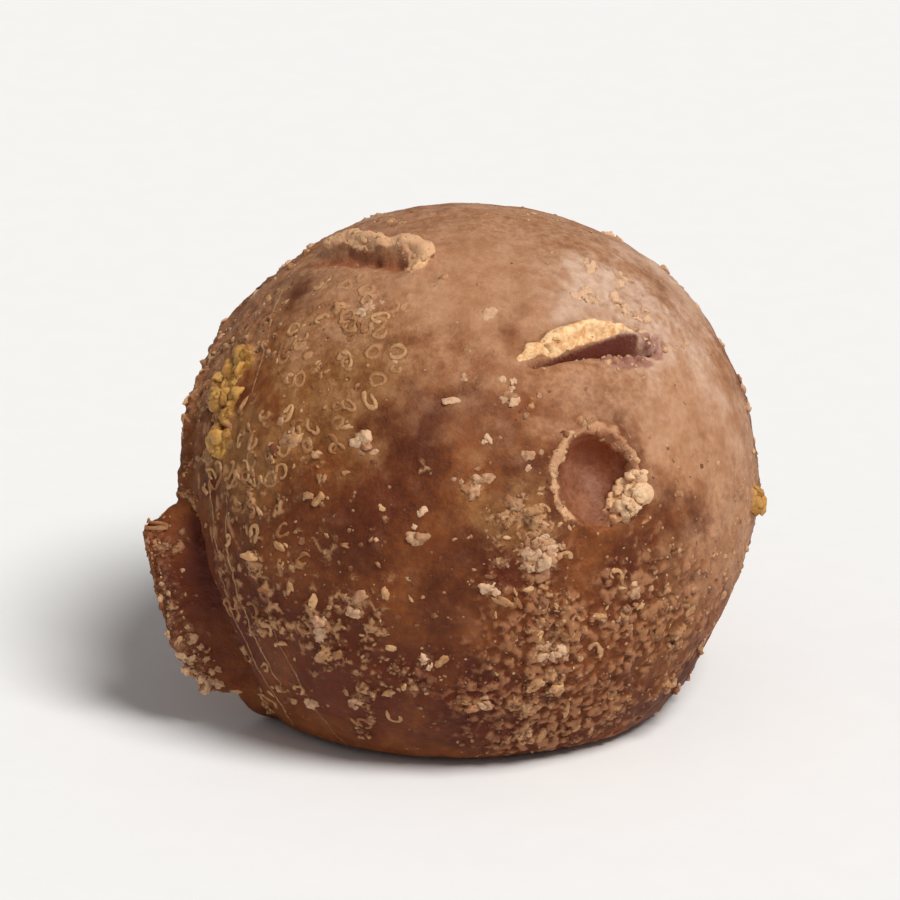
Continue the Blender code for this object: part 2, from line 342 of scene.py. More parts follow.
def cast_face(dirs):
    """The radius at which each direction meets the dished and dented cast face."""
    outward, up, front = cast_axes()
    facing = dirs @ outward
    depth = np.full(len(dirs), FAR)
    seen = facing > LEAST_FACING
    flat = CAST_DEPTH / facing[seen]
    x, y = flat * (dirs[seen] @ up), flat * (dirs[seen] @ front)
    sunk = DISH_DEPTH * np.clip(1 - (np.hypot(x, y) / CAST_RADIUS) ** 2, 0, 1)
    for place_x, place_y, half_width, height in CAST_DENTS:
        sunk -= height * bell(np.hypot(x - place_x, y - place_y), half_width)
    depth[seen] = (CAST_DEPTH - sunk) / facing[seen]
    return depth


def lip_place(turn):
    """How far along the lip a turn is, -1 to 1, and how much of a lip there is there."""
    half_span = (LIP_END - LIP_START) / 2
    along = (turn - (LIP_START + LIP_END) / 2) / half_span
    return along, window(along, 1.0, LIP_BLUNTNESS)


def groove_opening(turn):
    """The groove's width and distance from the rim, as a share of what they are far along the lip."""
    opened = np.clip((turn - LIP_START) / GROOVE_OPENS_OVER, 0, 1)
    return GROOVE_START_SHARE + (1 - GROOVE_START_SHARE) * opened


def in_groove(outside, turn):
    """How near the middle of the groove a place is, 0 to 1."""
    opening = groove_opening(turn)
    return bell(outside - GROOVE_OUTSIDE_RIM * opening, GROOVE_HALF_WIDTH * opening)


def lip(dirs):
    """The cast face's low rim, raised into a lip along one stretch, with a groove outside it."""
    outside, turn = rim_place(dirs)
    along, stretch = lip_place(turn)
    wobble = 0.85 + 0.1 * np.cos(np.radians(turn * 5 + 40)) + 0.05 * np.cos(np.radians(turn * 11))
    tall = LIP_HEIGHT * (0.8 + 0.2 * wobble) * (1 - LIP_LEAN * along)
    height = RIM_HEIGHT * wobble + (tall - RIM_HEIGHT) * stretch
    ridge = height * bell(outside - LIP_OUTSIDE_RIM, LIP_HALF_WIDTH)
    return ridge - GROOVE_DEPTH * (0.12 + 0.88 * stretch) * in_groove(outside, turn)


def rounded_least(a, b, k):
    """The smaller of two radii, rounded where they cross."""
    return np.minimum(a, b) - k * np.log1p(np.exp(-np.abs(a - b) / k))


def radius(dirs):
    """The lump's radius in each direction from the ball's centre."""
    ball = BALL_RADIUS + swells(dirs) + bubble(dirs) + scar(dirs) + fold(dirs)
    upper = rounded_least(ball, cast_face(dirs), CAST_EDGE_ROUND) + lip(dirs)
    down = -dirs[:, 2]
    rest = np.where(down > LEAST_FACING, REST_DEPTH / np.maximum(down, LEAST_FACING), FAR)
    level = rounded_least(upper, rest, REST_EDGE_ROUND)
    return np.where(rest < upper - 4 * REST_EDGE_ROUND, rest, level)


def form_of(dirs):
    """The CAD solid's surface in each direction, measured from the ball's centre."""
    return dirs * radius(dirs)[:, None]


# ---- noise and cells
SCRAMBLE_MULTIPLIERS = (0x9E3779B1, 0x85EBCA77, 0xC2B2AE3D, 0x27D4EB2F)


def scramble(*whole):
    """One pseudo-random whole number for each point of a lattice."""
    h = np.zeros(whole[0].shape, np.uint32)
    for multiplier, w in zip(SCRAMBLE_MULTIPLIERS, whole):
        h ^= w.astype(np.int64).astype(np.uint32) * np.uint32(multiplier)
        h ^= h >> np.uint32(15)
        h *= np.uint32(0x2C1B3C6D)
        h ^= h >> np.uint32(12)
    h *= np.uint32(0x297A2D39)
    return h ^ (h >> np.uint32(15))


def share(h):
    """A scrambled number as a share of the greatest, 0 to 1."""
    return h.astype(np.float64) / 2**32


def noise(points, size, seed):
    """Gradient noise from about -1 to 1, with features of that size in metres."""
    p = points / size
    low = np.floor(p).astype(np.int64)
    f = p - low
    fade = f * f * f * (f * (f * 6 - 15) + 10)
    total = np.zeros(len(p))
    which = np.full(len(p), SEED + seed)
    for corner in range(8):
        step = np.array([corner & 1, corner >> 1 & 1, corner >> 2])
        at = low + step
        h = scramble(at[:, 0], at[:, 1], at[:, 2], which)
        a, z = share(h) * 2 * np.pi, share(scramble(h, which + 7)) * 2 - 1
        flat = np.sqrt(1 - z * z)
        away = f - step
        slope = away[:, 0] * flat * np.cos(a) + away[:, 1] * flat * np.sin(a) + away[:, 2] * z
        total += np.prod(np.where(step, fade, 1 - fade), axis=1) * slope
    return total * 1.6


def sways(points, size, seed):
    """Noise in three directions."""
    return np.stack([noise(points, size, seed + n) for n in range(3)], axis=1)


def fractal(points, size, octaves, seed, gain):
    """Noise with ever finer noise added, each octave weaker by the gain."""
    total, amount = np.zeros(len(points)), 1.0
    for octave in range(octaves):
        total += amount * noise(points, size / 2**octave, seed + 31 * octave)
        amount *= gain
    return total


def cells(points, size, seed):
    """Distances to the two nearest of scattered seeds, in seed spacings, and the nearest one's number."""
    p = points / size
    low = np.floor(p).astype(np.int64)
    first, second = np.full(len(p), 9.0), np.full(len(p), 9.0)
    number = np.zeros(len(p))
    which = np.full(len(p), SEED + seed)
    for n in range(27):
        at = low + np.array([n % 3, n // 3 % 3, n // 9]) - 1
        h = scramble(at[:, 0], at[:, 1], at[:, 2], which)
        others = [share(scramble(h, which + k)) for k in (1, 2, 3)]
        away = np.linalg.norm(at + np.stack([share(h), *others[:2]], axis=1) - p, axis=1)
        nearer = away < first
        second = np.where(nearer, first, np.minimum(second, away))
        number = np.where(nearer, others[2], number)
        first = np.where(nearer, away, first)
    return first, second, number


# ---- the skin
FINE_KINDS = (
    "coarse", "crust", "rim", "ochre", "clusters", "fold_crest", "fold_under", "scar_cream", "scar_slit",
    "scar_mauve",
)


def unit(vectors):
    """Vectors made 1 long, apart from any without a length."""
    return vectors / np.maximum(np.linalg.norm(vectors, axis=-1, keepdims=True), 1e-12)


def arrays_of(bm):
    """A triangulated mesh's vertices and triangles."""
    bm.verts.index_update()
    return np.array([v.co for v in bm.verts]), np.array([[v.index for v in f.verts] for f in bm.faces])


def fine_ball():
    """A sphere whose triangles are split until the shape's edges are short, shortest where detail is."""
    bm = bmesh.new()
    bmesh.ops.create_icosphere(bm, subdivisions=SPHERE_LEVEL, radius=1.0)
    bmesh.ops.subdivide_edges(bm, edges=bm.edges[:], cuts=SPHERE_CUTS, use_grid_fill=True)
    for _ in range(EDGE_ROUNDS):
        bmesh.ops.triangulate(bm, faces=bm.faces[:])
        dirs = unit(arrays_of(bm)[0])
        places = form_of(dirs)
        detail = detail_wanted(dirs, places)
        ends = np.array([[v.index for v in e.verts] for e in bm.edges])
        length = np.linalg.norm(places[ends[:, 0]] - places[ends[:, 1]], axis=1)
        length[places[ends[:, 0], 2] < -REST_DEPTH * 0.999] = 0
        most = LONGEST_EDGE + (FINEST_EDGE - LONGEST_EDGE) * detail[ends].max(axis=1)
        long_edges = [edge for edge, is_long in zip(bm.edges, length > most) if is_long]
        bmesh.ops.subdivide_edges(bm, edges=long_edges, cuts=1, use_grid_fill=True)
    bmesh.ops.triangulate(bm, faces=bm.faces[:])
    verts, triangles = arrays_of(bm)
    bm.free()
    return without_folds(unit(verts), triangles)


def without_folds(verts, triangles):
    """A mesh without the triangles that lie back to back, or the vertices that only they had."""
    corners = np.sort(triangles, axis=1)
    _, which, uses = np.unique(corners, axis=0, return_inverse=True, return_counts=True)
    triangles = triangles[uses[which.ravel()] == 1]
    kept, numbers = np.unique(triangles, return_inverse=True)
    return verts[kept], numbers.reshape(-1, 3)


def detail_wanted(dirs, places):
    """Where the skin needs its finest triangles, 0 to 1."""
    masks = skin_masks(dirs, places)
    total = sum(vars(masks)[kind] for kind in FINE_KINDS) + 0.4 * masks.flaky + 0.45 * masks.cast
    return np.clip(total + bell(bubble_place(dirs)[2], 1.5), 0, 1) * masks.standing


def normals_of(places, triangles):
    """Outward normals at the vertices, weighted by area."""
    a, b, c = (places[triangles[:, n]] for n in range(3))
    face = np.cross(b - a, c - a)
    total = np.zeros_like(places)
    for n in range(3):
        for axis in range(3):
            total[:, axis] += np.bincount(triangles[:, n], face[:, axis], len(places))
    return unit(total)


# ---- kinds of surface on the skin
KINDS = {
    "calm": CALM, "flaky": FLAKY, "coarse": COARSE, "rusty": RUSTY_AND_SHADED, "bloom": BLOOM_AND_HIGHLIGHT, "dusty": DUSTY,
    "ringed": RINGED, "waxy": WAXY_SHEEN, "pallor": PALLOR_AND_SHEEN,
}
LEFT_OUT_OF_BUBBLE = ("calm", "flaky", "coarse", "ringed", "waxy", "clusters", "lone")


def patches(dirs, kind, warp):
    """How strongly a kind of surface shows in each direction, 0 to 1, with ragged patch edges."""
    total = np.zeros(len(dirs))
    for azimuth, elevation, half_width, strength in kind:
        angle = degrees_from(dirs, azimuth, elevation)
        ragged_angle = np.clip(angle + warp * min(1.0, half_width / 12), 0, None)
        total = np.maximum(total, strength * bell(ragged_angle, half_width))
    return total


def crust_cover(places, masks):
    """Irregular clusters of pale crystals, many where the skin is flaky."""
    clusters = fractal(places, 0.003, 4, 100, 0.62) + 0.3 * noise(places, 0.011, 101)
    level = 0.66 - 0.4 * masks.flaky - 0.16 * masks.coarse + 0.25 * masks.calm
    return smooth(level, level + 0.24, clusters)


def lace_cover(places, masks):
    """A fine pale network of threads."""
    bend = 0.0006 * sways(places, 0.0014, 110)
    lines = 1 - np.abs(noise(places + bend, 0.0015, 113)) / 0.5
    return smooth(0.8, 0.97, lines) * smooth(0.25, 0.8, masks.flaky) * (1 - masks.calm)


def streak_cover(outside, turn):
    """Fine lines drawn round the ball beside the cast face's rim."""
    sideways = 0.25 * BALL_RADIUS * np.radians(turn)
    drawn = noise(np.stack([outside, sideways, sideways * 0], axis=1), 0.00062, 120)
    beside = smooth(0.0026, 0.004, outside) * (1 - smooth(0.008, 0.014, outside))
    return drawn * beside * bell(turn - 62, 52)


def skin_masks(dirs, places):
    """Where each kind of surface shows, 0 to 1, for the relief, the colours and the scattered pieces."""
    warp = WARP_DEGREES * fractal(places, WARP_SIZE, 3, 0, 0.6)
    outside, turn = rim_place(dirs)
    grain = noise(places, 0.0011, 130)
    cast = 1 - smooth(-0.0012, 0.0002, outside)
    ball = (1 - 0.25 * cast) * (1 - smooth(0.9, 1.1, 2 - bubble_place(dirs)[2]))
    masks = SimpleNamespace(**{name: patches(dirs, kind, warp) for name, kind in KINDS.items()})
    masks.flaky = masks.flaky * (1 - masks.calm)
    masks.clusters = patches(dirs, CLUSTERS, warp * 0.8)
    masks.lone = patches(dirs, LONE_CRYSTALS, warp * 0)
    for name in LEFT_OUT_OF_BUBBLE:
        vars(masks)[name] = vars(masks)[name] * ball
    masks.ochre = smooth(0.35, 0.6, patches(dirs, OCHRE_PATCHES, warp * 0.5) + 0.25 * grain)
    masks.cast = cast
    masks.standing = smooth(0.0001, 0.0012, places[:, 2] + REST_DEPTH)
    masks.streaks = streak_cover(outside, turn) * (1 - cast)
    masks.crust = crust_cover(places, masks) * ball
    masks.lace = lace_cover(places, masks) * ball
    for marks in (
        rim_masks(outside, turn, np.linalg.norm(places, axis=1) - BALL_RADIUS, grain),
        bubble_masks(dirs, grain),
        scar_masks(dirs, grain),
        fold_masks(dirs, grain),
    ):
        vars(masks).update(marks)
    return masks


def rim_masks(outside, turn, stand, grain):
    """The crumbly rim of the cast face, the lip's two ends, and the groove beside the lip, where dark
    shade is painted.
    """
    along, stretch = lip_place(turn)
    beyond = outside / groove_opening(turn)
    foot = smooth(0.0003, 0.001, beyond) * (1 - smooth(0.0044, 0.0054, beyond))
    groove = foot * (1 - smooth(0.0, 0.0026, stand + 0.0008 * grain)) * stretch
    spread = np.where(outside > LIP_OUTSIDE_RIM, 0.0013 + 0.001 * stretch, 0.0013)
    rim = bell(outside - LIP_OUTSIDE_RIM, spread) * (0.35 + 0.65 * stretch) * (1 - groove)
    return {
        "groove": groove,
        "groove_top": groove * (1 - smooth(-0.3, 0.5, along + 0.3 * grain)),
        "rim": rim,
        "lip_end": rim * stretch * bell(along - 0.75, 0.3),
        "lip_top": rim * bell(along + 0.72, 0.36),
    }


def bubble_masks(dirs, grain):
    """The burst bubble's smooth bowl, the painted shade on its upper right wall, its pale rim and the
    thick cream lumps down its right side.
    """
    x, y, reach = bubble_place(dirs)
    turn = np.degrees(np.arctan2(y, x))
    cream_reach = np.clip(1.08 + 0.003 * (turn + 10), 0.9, 1.14)
    cream = bell(reach - cream_reach, 0.24) * bell(turn + 30, 40)
    rim = bell(reach - 1.06, np.where(reach < 1.06, 0.12, 0.16 + 0.05 * grain))
    rim = rim * (1 - 0.9 * bell(np.abs(turn + 100), 30)) * (0.85 + 0.15 * bell(turn - 75, 50))
    return {
        "bowl": 1 - smooth(0.9, 1.03, reach),
        # Painted shade on the upper right wall, which faces away from the key light.
        "bowl_wall": bell(reach - 0.86, 0.34) * bell(turn - 62, 80),
        "bowl_light": bell(np.hypot(x + 0.0012, y + 0.0017) / 0.0016, 1.0),
        "bowl_ridge": bubble_ridge(reach),
        "bowl_rim": smooth(0.12, 0.9, rim + 0.35 * grain),
        "bowl_cream": smooth(0.3, 0.55, cream + 0.3 * grain),
    }


def scar_masks(dirs, grain):
    """The scar's smooth cream crust, the painted shade in its slit and under the crust, and the mauve
    crumbs to its right.
    """
    x, y = local(dirs, *SCAR_PLACE)
    along = window(x, SCAR_HALF_LENGTH)
    top = scar_arch(x) + 0.0003 * grain
    foot = 0.0007 + 0.1 * np.clip(x + 0.005, 0, 0.008)
    crust = smooth(foot - 0.0004, foot + 0.0003, y) * (1 - smooth(top + 0.0001, top + 0.001, y))
    crust = crust * window(x, SCAR_HALF_LENGTH, 3)
    right = smooth(0.003, 0.0056, x)
    # Painted shade from the slit up to the foot of the crust.
    painted_crevice_shade = smooth(-0.0004, 0.0001, y) * (1 - smooth(foot - 0.0004, foot + 0.0002, y)) * along
    slit = np.maximum(painted_crevice_shade, bell(y, 0.0005) * along)
    beyond = bell(y - 0.0008, 0.0013) * bell(x - 0.0066, 0.0016)
    under = bell(y + 0.0008, 0.0009) * bell(x - 0.0026, 0.0032)
    return {
        "scar_cream": smooth(0.25, 0.8, crust * (1 - right) + 0.35 * grain),
        "scar_slit": slit * (1 - 0.5 * smooth(0.1, 0.6, grain) * right),
        "scar_mauve": smooth(0.35, 0.8, under + beyond + crust * right + 0.35 * grain),
    }


def fold_masks(dirs, grain):
    """The fold's pale crumbly crest, its hooked right end and its undercut, which gets painted reddish
    shade.
    """
    x, y = local(dirs, *FOLD_PLACE)
    along = window(x, FOLD_HALF_LENGTH * 1.05)
    hook = bell(x - 0.0058 - 0.15 * y, 0.00085) * bell(y + 0.0013, 0.0015)
    return {
        "fold_hook": hook,
        "fold_crest": smooth(0.35, 0.7, bell(y - 0.0001, 0.001) * along + hook + 0.25 * grain),
        "fold_under": bell(y + 0.0017, 0.0007) * along,
    }


# ---- relief on the skin
def creases(dirs):
    """How deep a few short creases are cut into the calm skin."""
    depth = np.zeros(len(dirs))
    for azimuth, elevation, turn, half_length, deep in CREASES:
        x, y = local(dirs, azimuth, elevation, turn)
        depth += deep * bell(y + 6 * x * x / half_length, 0.00022) * window(x, half_length)
    return depth


def domes(places, size, least_number, seed):
    """Rounded lumps, only those above a number: how far each stands up, 0 to 1, and its number."""
    bend = 0.22 * size * sways(places, size * 0.8, seed + 1)
    first, second, number = cells(places + bend, size, seed)
    dome = np.sqrt(np.clip(1 - (first / 0.6) ** 2, 0, 1)) * smooth(0.0, 0.16, second - first)
    return dome * smooth(least_number - 0.05, least_number + 0.05, number), number


def wrinkles(places):
    """A network of rounded ridges with furrows between, 0 to 1."""
    bend = 0.0006 * sways(places, 0.0013, 140)
    return 1 - np.clip(np.abs(noise(places + bend, 0.00105, 143)) / 0.5, 0, 1)


def settled(dirs):
    """The height that softens the CAD solid's marks.

    The scar's crust tapers and its slit fills up, the groove is shallower and the lip lower.
    """
    x, y = local(dirs, *SCAR_PLACE)
    removed = 0.25 + 0.4 * smooth(-0.003, -0.007, x) + 0.25 * smooth(0.002, 0.0055, x)
    outer = 0.0003 * bell(y - scar_arch(x) - 0.0011, 0.0006) * window(x, SCAR_HALF_LENGTH, 2)
    scar_height = 0.55 * scar_slit(x, y) - removed * scar_crust(x, y) - outer
    outside, turn = rim_place(dirs)
    groove = 0.32 * GROOVE_DEPTH * in_groove(outside, turn)
    crest = 0.14 * LIP_HEIGHT * bell(outside - LIP_OUTSIDE_RIM, LIP_HALF_WIDTH)
    return scar_height + (groove - crest) * lip_place(turn)[1]


def cast_relief(dirs, places):
    """Gentle waves round the cast face, with small pits and a few blisters, and where the pits are."""
    outside, _ = rim_place(dirs)
    inward = np.clip(-outside / CAST_RADIUS, 0, 1)
    waves = noise(np.stack([outside, 0.3 * places[:, 2], 0 * outside], axis=1), 0.003, 214)
    first, _, number = cells(places, 0.0024, 215)
    pits = bell(first, 0.05 + 0.14 * number) * smooth(0.62, 0.7, number)
    blister_first, _, blister_number = cells(places, 0.0047, 216)
    blisters = bell(blister_first, 0.2) * smooth(0.62, 0.66, blister_number)
    broad = 0.0003 * noise(places, 0.0075, 217) + 0.0001 * noise(places, 0.0026, 213)
    height = broad + 0.0001 * waves - 0.00038 * pits + 0.0003 * blisters
    return height * smooth(0.0, 0.06, inward), pits


def relief(dirs, places, masks):
    """How far the skin stands out from the CAD solid's shape, in metres.

    With it come the painted shade in its hollows, and the domes, stones and ridges, 0 to 1, that the
    colours follow.
    """
    grain_first, grain_second, grain_number = cells(places, GRAIN_SPACING, 200)
    grain = 1 - grain_first
    gap = 1 - smooth(0.02, 0.26, grain_second - grain_first)
    small_first, _, small_number = cells(places, SPECK_SPACING, 201)
    lumpy = smooth(0.15, 0.85, 1 - small_first)

    ball = 1 - 0.5 * masks.cast
    rough = (1 - 0.8 * masks.calm) * (1 - 0.7 * masks.bowl) * ball
    height = 0.00026 * noise(places, 0.0085, 210) + 0.00013 * noise(places, 0.0036, 211)
    cast_height, pits = cast_relief(dirs, places)
    height = height * ball + cast_height * masks.cast
    height += 0.0001 * fractal(places, 0.0014, 3, 212, 0.7) * rough
    height += settled(dirs)

    ridges = wrinkles(places)
    pebbles = smooth(0.1, 0.7, grain) * (0.3 + 0.7 * grain_number)
    stones = smooth(0.2, 0.95, 0.5 * ridges + 0.65 * pebbles)
    furrow = smooth(0.6, 0.05, 0.8 * ridges + 0.5 * grain_number)
    height += (0.00034 * stones - 0.0001 * gap) * masks.coarse
    height += 0.00016 * (ridges - 0.4) * masks.waxy

    large_domes, large_number = domes(places, 0.0015, 0.4, 220)
    small_domes, _ = domes(places, 0.0009, 0.25, 225)
    spread = smooth(0.1, 0.6, masks.crust + 0.45 * masks.flaky)
    dome = np.clip(large_domes * masks.crust + 0.8 * small_domes * spread, 0, 1) * rough
    height += 0.00026 * large_domes * (0.5 + large_number) * masks.crust * rough
    height += 0.00015 * small_domes * spread * rough
    height += (0.00004 + 0.00012 * lumpy * small_number) * masks.crust
    height += 0.0001 * masks.lace + 0.0002 * masks.streaks + 0.00022 * masks.clusters * lumpy

    crumbly = (0.00034 * smooth(0.1, 0.8, grain) - 0.00016 * gap) * (0.5 + grain_number)
    lumps = noise(places, 0.0017, 230)
    edges = 0.5 * masks.bowl_rim + 0.6 * masks.bowl_cream + 0.25 * masks.scar_cream
    edges = edges + 0.3 * masks.rim + 0.9 * masks.scar_mauve
    height += crumbly * np.clip(edges, 0, 1)
    height += (0.0004 * lumps + 0.00045 * noise(places, 0.0026, 232)) * masks.rim
    height += (0.0003 * lumps + 0.0001 * lumpy) * masks.scar_cream
    height += (0.0009 * lumps + 0.3 * crumbly) * masks.fold_crest + 0.001 * masks.fold_hook
    height -= 0.00035 * smooth(0.0, 0.4, lumps) * masks.fold_under
    height += 0.00048 * (noise(places, 0.0029, 231) - 0.55) * masks.bowl_ridge
    height += 0.00036 * lumps * masks.bowl_rim
    height += (0.0003 + 0.0003 * large_domes) * masks.bowl_cream
    height += (0.0003 + 0.0005 * large_domes) * masks.ochre
    cut = creases(dirs)
    height -= cut

    # Painted shade: darker colour between the domes, in the furrows, in the gaps round the rims, between
    # the streaks, in the cast face's pits and in the creases.
    painted_shade = 0.7 * (1 - small_domes) * spread * smooth(0.4, 0.8, small_first)
    painted_shade = painted_shade + 0.6 * masks.coarse * furrow
    painted_shade = painted_shade + 0.7 * gap * np.clip(masks.rim + 0.4 * masks.scar_mauve, 0, 1)
    painted_shade = painted_shade * (1 - masks.bowl_rim) * (1 - masks.fold_crest)
    painted_shade = painted_shade + 0.5 * smooth(0.1, 0.5, -masks.streaks) + 0.8 * pits * masks.cast
    painted_shade = painted_shade + 0.6 * smooth(0.00008, 0.00035, cut)
    return height * masks.standing, painted_shade, dome, stones * masks.coarse, ridges


PLAIN_MASKS = ("ringed", "coarse", "rusty", "bloom", "dusty", "calm", "cast", "pallor", "ochre")


def skin_values(masks, painted_shade, dome, stones, ridges):
    """What the skin's material reads at its points, by attribute name."""
    bowl = masks.bowl * (1 - 0.5 * masks.bowl_light)
    values = {kind: vars(masks)[kind] for kind in PLAIN_MASKS} | {
        "crust": 0.3 * masks.crust + dome + 0.8 * masks.lace + 0.6 * masks.clusters,
        "streaks": smooth(0.1, 0.6, masks.streaks),
        "waxy": masks.waxy * smooth(0.1, 0.7, ridges),
        "stones": stones,
        "mauve": 0.9 * bowl * (1 - 0.6 * masks.bowl_wall),
        "mauve_crumbs": masks.scar_mauve,
        "pale_rim": 0.8 * masks.bowl_rim + masks.fold_crest + 0.35 * masks.rim,
        "cream": masks.bowl_cream + masks.scar_cream + 0.6 * masks.fold_hook,
        # Painted shade, dark red, in the scar's slit, under its crust and in the groove beside the lip.
        "painted_crevice_shade": 0.85 * masks.scar_slit + 0.34 * masks.groove + 0.4 * masks.groove_top,
        # Red-brown painted shade on the bowl's upper wall and under the fold; the lip's top end has this
        # red as its own colour.
        "red_and_painted_shade": masks.bowl_wall + 0.8 * masks.fold_under + 0.45 * masks.lip_top,
        # Painted shade, dark brown, in the hollows.
        "painted_shade": painted_shade,
    }
    return {name: np.clip(value, 0, 1) for name, value in values.items()}


# ---- meshes
def mesh_piece(name, places, triangles, attributes, material):
    """A mesh piece with named values at its points, riding on the object's one body."""
    mesh = bpy.data.meshes.new(name)
    mesh.from_pydata(places.tolist(), [], triangles.tolist())
    for label, values in attributes.items():
        attribute = mesh.attributes.new(label, "FLOAT", "POINT")
        attribute.data.foreach_set("value", np.asarray(values, np.float32))
    mesh.shade_smooth()
    mesh.materials.append(material)
    piece = bpy.data.objects.new(name, mesh)
    bpy.context.scene.collection.objects.link(piece)
    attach(piece, "root")
    return piece


def from_ball(form):
    """What moves the ball's own frame to the CAD solid's place in the object's frame."""
    low, high = form.min(axis=0), form.max(axis=0)
    shift = (np.array(NODE_LOW) + np.array(NODE_HIGH)) / 2 - (low + high) / 2
    shift[2] = NODE_LOW[2] - low[2]
    return shift


def above_floor(points):
    """A flat list of the points, none lower than the CAD solid's underside."""
    points = points.reshape(-1, 3)
    points[:, 2] = np.maximum(points[:, 2], NODE_LOW[2])
    return points


def make_skin():
    """The skin, and everything about it that the scattered pieces need."""
    dirs, triangles = fine_ball()
    form = form_of(dirs)
    masks = skin_masks(dirs, form)
    height, *shown = relief(dirs, form, masks)
    middle = from_ball(form)
    places = above_floor(form + normals_of(form, triangles) * height[:, None] + middle)
    piece = mesh_piece("jaggery_skin", places, triangles, skin_values(masks, *shown), skin_material())
    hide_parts("jaggery_lump")
    normals = normals_of(places, triangles)
    return SimpleNamespace(places=places, triangles=triangles, normals=normals, masks=masks, middle=middle)


def laid_on_skin(skin, points):
    """Points moved straight out from or in to the ball's centre until they lie on the skin."""
    dirs = unit(points - skin.middle)
    form = form_of(dirs)
    height = relief(dirs, form, skin_masks(dirs, form))[0]
    return form + dirs * height[:, None] + skin.middle, dirs


def scattered(skin, density, count, rng):
    """Random places on the skin, more where the density is high.

    With each come its outward normal and the number of a skin point beside it.
    """
    triangles = skin.triangles
    a, b, c = (skin.places[triangles[:, n]] for n in range(3))
    area = np.linalg.norm(np.cross(b - a, c - a), axis=1)
    wanted = density * skin.masks.standing ** 2
    chance = area * wanted[triangles].mean(axis=1)
    chosen = rng.choice(len(triangles), count, p=chance / chance.sum())
    u = rng.random(count)[:, None]
    v = rng.random(count)[:, None]
    over = u + v > 1
    u, v = np.where(over, 1 - u, u), np.where(over, 1 - v, v)
    place = a[chosen] + u * (b - a)[chosen] + v * (c - a)[chosen]
    corner = triangles[chosen, 0]
    return place, skin.normals[corner], corner


def tangents(normals, rng):
    """Two directions in the skin at each place, the first turned at random."""
    way = rng.normal(size=normals.shape)
    first = unit(way - (way * normals).sum(axis=1, keepdims=True) * normals)
    return first, np.cross(normals, first)


def ball_template(level):
    """An icosphere of radius 1."""
    bm = bmesh.new()
    bmesh.ops.create_icosphere(bm, subdivisions=level, radius=1.0)
    template = arrays_of(bm)
    bm.free()
    return template


def uneven_copies(template, place, axes, sizes, unevenness):
    """One joined mesh of copies of a template, each stretched along its own axes and made uneven."""
    verts, triangles = template
    number = np.arange(len(place))[:, None, None]
    own_part = (verts[None] + number * 7.3).reshape(-1, 3)
    bumps = 1 + unevenness * 1.7 * fractal(own_part, 0.95, 2, 240, 0.5).reshape(len(place), -1, 1)
    scaled = verts[None] * np.clip(bumps, 0.45, 1.7) * sizes[:, None, :]
    world = place[:, None, :] + sum(scaled[..., n : n + 1] * axes[n][:, None, :] for n in range(3))
    return above_floor(world), (triangles[None] + number * len(verts)).reshape(-1, 3)


def tilted(normals, rng, most):
    """Normals leant over by up to about that many degrees."""
    return unit(normals + math.tan(math.radians(most)) * rng.normal(size=normals.shape) * 0.5)


# Crumbs of each kind: how many, how fine, their least and greatest half length in metres, their half
# width and half thickness as shares of it, how deep their middles lie as a share of the half
# thickness, their lean in degrees, their unevenness, their variety of tone and their seed.
CRUMBS = {
    "jaggery_fine_grains": (4600, 1, (0.00011, 0.00028), (0.85, 0.6), 0.5, 20, 0.3, 0.22, 300),
    "jaggery_grains": (1100, 2, (0.0002, 0.00048), (0.8, 0.5), 0.6, 20, 0.3, 0.22, 301),
    "jaggery_flakes": (260, 3, (0.0003, 0.0008), (0.5, 0.36), 0.4, 12, 0.3, 0.22, 302),
    "jaggery_crystals": (340, 3, (0.0003, 0.00074), (0.8, 0.55), 0.4, 20, 0.36, 0.22, 305),
    "jaggery_cream_crumbs": (36, 3, (0.0004, 0.0009), (0.9, 0.55), 0.72, 20, 0.22, 0.1, 303),
    "jaggery_ochre_crumbs": (56, 3, (0.00055, 0.0011), (0.85, 0.62), 0.4, 20, 0.26, 0.22, 304),
}
CURL_COUNT = 170
SMALL_MOSTLY = 2.2
ANY_PHASE = 6.3


def crumb_piece(skin, name, density, tone, material):
    """Crumbs of one kind, set into the skin; their tone is one number, or one for each skin point."""
    count, level, size, shape, sink, tilt, unevenness, variety, seed = CRUMBS[name]
    rng = np.random.default_rng(SEED + seed)
    place, normal, corner = scattered(skin, density, count, rng)
    half = size[0] + (size[1] - size[0]) * rng.random(count) ** SMALL_MOSTLY
    sizes = half[:, None] * np.array([1.0, *shape]) * (0.8 + 0.4 * rng.random((count, 3)))
    leant = tilted(normal, rng, tilt)
    first, second = tangents(leant, rng)
    middle = place - normal * (sizes[:, 2] * sink)[:, None]
    template = ball_template(level)
    world, triangles = uneven_copies(template, middle, (first, second, leant), sizes, unevenness)
    own_tone = np.broadcast_to(tone, len(skin.places))[corner]
    per_crumb = np.clip(own_tone + variety * rng.normal(size=count), 0, 1)
    attributes = {"tone": np.repeat(per_crumb, len(template[0]))}
    return mesh_piece(name, world, triangles, attributes, material)


def ribbon(skin, line, half_width, half_height):
    """A low rounded ridge along a line of points, half sunk in the skin."""
    middle, up = laid_on_skin(skin, line)
    side = unit(np.cross(up, np.gradient(middle, axis=0)))
    s = np.linspace(0, 2 * math.pi, RIBBON_SIDES, endpoint=False)
    ends = np.linspace(-1, 1, len(line))
    taper = np.sqrt(np.clip(1 - ends**8, 0.03, 1))[:, None]
    out = half_width[:, None] * taper * np.cos(s)
    rise = half_height * taper * np.sin(s)
    return above_floor(
        middle[:, None, :] + out[..., None] * side[:, None, :] + rise[..., None] * up[:, None, :]
    )


